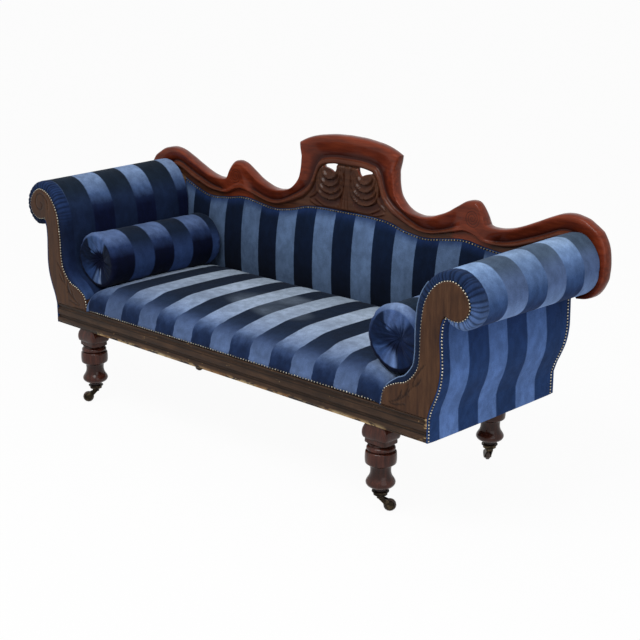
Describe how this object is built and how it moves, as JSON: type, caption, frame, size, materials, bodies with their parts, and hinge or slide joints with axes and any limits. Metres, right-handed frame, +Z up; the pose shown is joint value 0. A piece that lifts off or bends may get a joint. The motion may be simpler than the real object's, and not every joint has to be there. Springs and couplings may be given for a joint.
{
  "type": "scroll-arm sofa",
  "caption": "Double-ended scroll-arm sofa with a moulded and pierced serpentine crest rail, striped velvet upholstery, loose bolsters, and turned legs on swivel castors.",
  "frame": {"origin": "middle of the sofa's overall length and depth, on the floor", "axes": "+X along the sofa's length towards its right arm as seen from the front, +Y from the front to the back, +Z up"},
  "size_m": [2.0724, 0.653, 0.9689],
  "materials": {
    "crest_wood": "glossy moulded and carved mahogany",
    "show_wood": "dull worn dark mahogany",
    "leg_wood": "turned dark red-brown mahogany, polished",
    "frame_wood": "sawn beech",
    "velvet": "striped slate-blue and navy velvet, piled",
    "webbing": "woven jute webbing",
    "castor_metal": "aged dull brass",
    "wheel_metal": "aged brown brass"
  },
  "bodies": {
    "frame": {"front_rail": "show_wood", "back_rail": "frame_wood", "left_side_rail": "frame_wood", "left_cross_rail": "frame_wood", "left_front_corner_block": "frame_wood", "left_rear_corner_block": "frame_wood", "right_side_rail": "frame_wood", "right_cross_rail": "frame_wood", "right_front_corner_block": "frame_wood", "right_rear_corner_block": "frame_wood", "left_front_leg": "leg_wood", "left_front_castor_cup": "castor_metal", "right_front_leg": "leg_wood", "right_front_castor_cup": "castor_metal", "left_rear_leg": "leg_wood", "left_rear_castor_cup": "castor_metal", "right_rear_leg": "leg_wood", "right_rear_castor_cup": "castor_metal", "left_arm_facing": "show_wood", "left_front_arm_post": "frame_wood", "left_rear_arm_post": "frame_wood", "left_arm_top_rail": "frame_wood", "left_arm_lower_rail": "frame_wood", "left_arm_pad": "velvet", "left_outside_arm_panel": "velvet", "right_arm_facing": "show_wood", "right_front_arm_post": "frame_wood", "right_rear_arm_post": "frame_wood", "right_arm_top_rail": "frame_wood", "right_arm_lower_rail": "frame_wood", "right_arm_pad": "velvet", "right_outside_arm_panel": "velvet", "crest_centre": "crest_wood", "back_stay": "frame_wood", "back_pad": "velvet", "outside_back_panel": "velvet", "left_crest_wing": "crest_wood", "left_crest_drop": "crest_wood", "left_back_tacking_rail": "frame_wood", "right_crest_wing": "crest_wood", "right_crest_drop": "crest_wood", "right_back_tacking_rail": "frame_wood", "seat_webbing": "webbing", "seat_pad": "velvet"},
    "left_front_castor": {"left_front_castor_horn": "castor_metal", "left_front_castor_axle": "castor_metal"},
    "left_front_wheel": {"left_front_castor_wheel": "wheel_metal"},
    "right_front_castor": {"right_front_castor_horn": "castor_metal", "right_front_castor_axle": "castor_metal"},
    "right_front_wheel": {"right_front_castor_wheel": "wheel_metal"},
    "left_rear_castor": {"left_rear_castor_horn": "castor_metal", "left_rear_castor_axle": "castor_metal"},
    "left_rear_wheel": {"left_rear_castor_wheel": "wheel_metal"},
    "right_rear_castor": {"right_rear_castor_horn": "castor_metal", "right_rear_castor_axle": "castor_metal"},
    "right_rear_wheel": {"right_rear_castor_wheel": "wheel_metal"},
    "left_bolster": {"left_bolster": "velvet"},
    "right_bolster": {"right_bolster": "velvet"}
  },
  "joints": [
    {"name": "left_front_castor_swivel", "type": "hinge", "parent": "frame", "child": "left_front_castor", "pos_m": [-0.704, -0.28118, 0.05], "axis": [0, 0, 1], "continuous": true},
    {"name": "left_front_wheel_spin", "type": "hinge", "parent": "left_front_castor", "child": "left_front_wheel", "pos_m": [-0.7238, -0.30097, 0.019], "axis": [0.7071, -0.7071, 0], "continuous": true},
    {"name": "right_front_castor_swivel", "type": "hinge", "parent": "frame", "child": "right_front_castor", "pos_m": [0.662, -0.28118, 0.05], "axis": [0, 0, 1], "continuous": true},
    {"name": "right_front_wheel_spin", "type": "hinge", "parent": "right_front_castor", "child": "right_front_wheel", "pos_m": [0.6818, -0.26138, 0.019], "axis": [-0.7071, 0.7071, 0], "continuous": true},
    {"name": "left_rear_castor_swivel", "type": "hinge", "parent": "frame", "child": "left_rear_castor", "pos_m": [-0.704, 0.23882, 0.05], "axis": [0, 0, 1], "continuous": true},
    {"name": "left_rear_wheel_spin", "type": "hinge", "parent": "left_rear_castor", "child": "left_rear_wheel", "pos_m": [-0.70644, 0.21093, 0.019], "axis": [0.9962, -0.0872, 0], "continuous": true},
    {"name": "right_rear_castor_swivel", "type": "hinge", "parent": "frame", "child": "right_rear_castor", "pos_m": [0.662, 0.23882, 0.05], "axis": [0, 0, 1], "continuous": true},
    {"name": "right_rear_wheel_spin", "type": "hinge", "parent": "right_rear_castor", "child": "right_rear_wheel", "pos_m": [0.64087, 0.25719, 0.019], "axis": [-0.6561, -0.7547, 0], "continuous": true},
    {"name": "left_bolster_lift", "type": "slide", "parent": "frame", "child": "left_bolster", "axis": [0, 0, 1], "range_m": [0, 0.3]},
    {"name": "right_bolster_lift", "type": "slide", "parent": "frame", "child": "right_bolster", "axis": [0, 0, 1], "range_m": [0, 0.3]}
  ]
}
